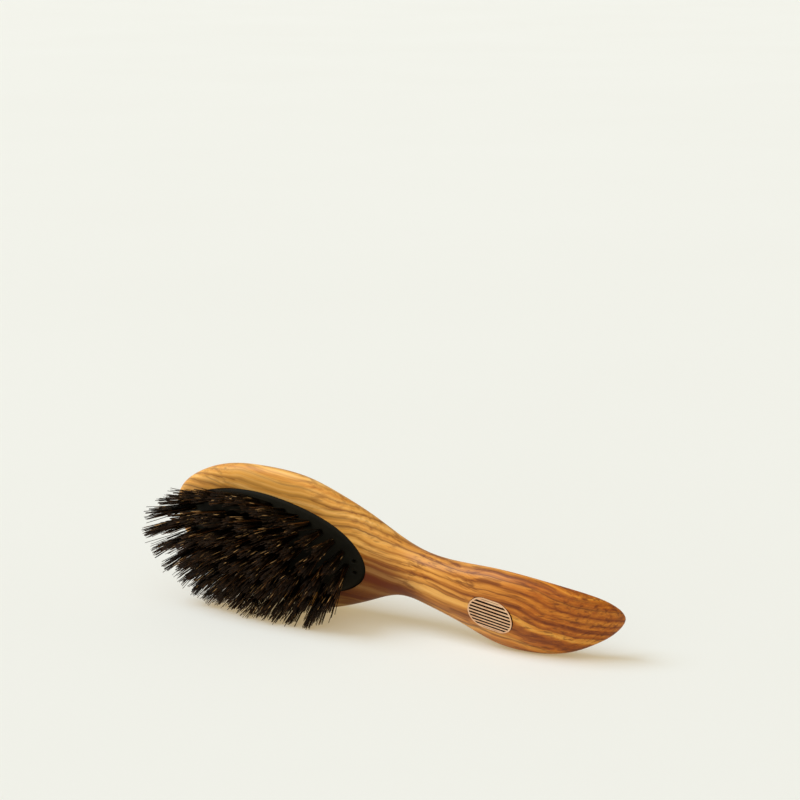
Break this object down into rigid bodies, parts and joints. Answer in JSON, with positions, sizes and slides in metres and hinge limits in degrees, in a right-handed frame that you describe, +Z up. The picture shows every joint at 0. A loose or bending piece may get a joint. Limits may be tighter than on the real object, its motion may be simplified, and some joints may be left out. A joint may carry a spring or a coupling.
{
  "type": "hair brush",
  "caption": "Oval wooden cushion hair brush: bristle tufts stand on a springy rubber cushion in the head, and the curved handle carries a small metal inlay.",
  "frame": {"origin": "on the floor, under the middle of the box around the brush as it lies on its side", "axes": "+X along the brush from its head to its handle, +Z up, bristles towards -Y and a little down"},
  "size_m": [0.2224, 0.0522, 0.0686],
  "materials": {
    "olive_wood": "satin lacquer over streaked olive wood",
    "cushion_rubber": "matt black natural rubber",
    "rose_metal": "polished rose-coloured metal with fine engraved lines",
    "bristle": "dark natural bristle",
    "anchor_metal": "plain metal strip"
  },
  "bodies": {
    "handle_and_head": {"wood_body": "olive_wood", "cushion_pad": "cushion_rubber", "badge_plate": "rose_metal"},
    "tuft_ring_1": {"bristle_tufts_ring_1": "bristle", "tuft_anchors_ring_1": "anchor_metal"},
    "tuft_ring_2": {"bristle_tufts_ring_2": "bristle", "tuft_anchors_ring_2": "anchor_metal"},
    "tuft_ring_3": {"bristle_tufts_ring_3": "bristle", "tuft_anchors_ring_3": "anchor_metal"},
    "tuft_ring_4": {"bristle_tufts_ring_4": "bristle", "tuft_anchors_ring_4": "anchor_metal"}
  },
  "joints": [
    {"name": "cushion_press", "type": "slide", "parent": "handle_and_head", "child": "tuft_ring_4", "axis": [0.0386, 0.9539, 0.2978], "range_m": [0, 0.004], "stiffness_N_per_m": 1500, "deforming": ["cushion_pad"]},
    {"name": "ring_3_press", "type": "slide", "parent": "handle_and_head", "child": "tuft_ring_3", "axis": [0.0386, 0.9539, 0.2978], "range_m": [0, 0.0035], "deforming": ["cushion_pad"]},
    {"name": "ring_2_press", "type": "slide", "parent": "handle_and_head", "child": "tuft_ring_2", "axis": [0.0386, 0.9539, 0.2978], "range_m": [0, 0.0027], "deforming": ["cushion_pad"]},
    {"name": "ring_1_press", "type": "slide", "parent": "handle_and_head", "child": "tuft_ring_1", "axis": [0.0386, 0.9539, 0.2978], "range_m": [0, 0.0015], "deforming": ["cushion_pad"]}
  ],
  "couplings": [
    {"joint": "ring_3_press", "follows": "cushion_press", "ratio": 0.85},
    {"joint": "ring_2_press", "follows": "cushion_press", "ratio": 0.65},
    {"joint": "ring_1_press", "follows": "cushion_press", "ratio": 0.35}
  ]
}
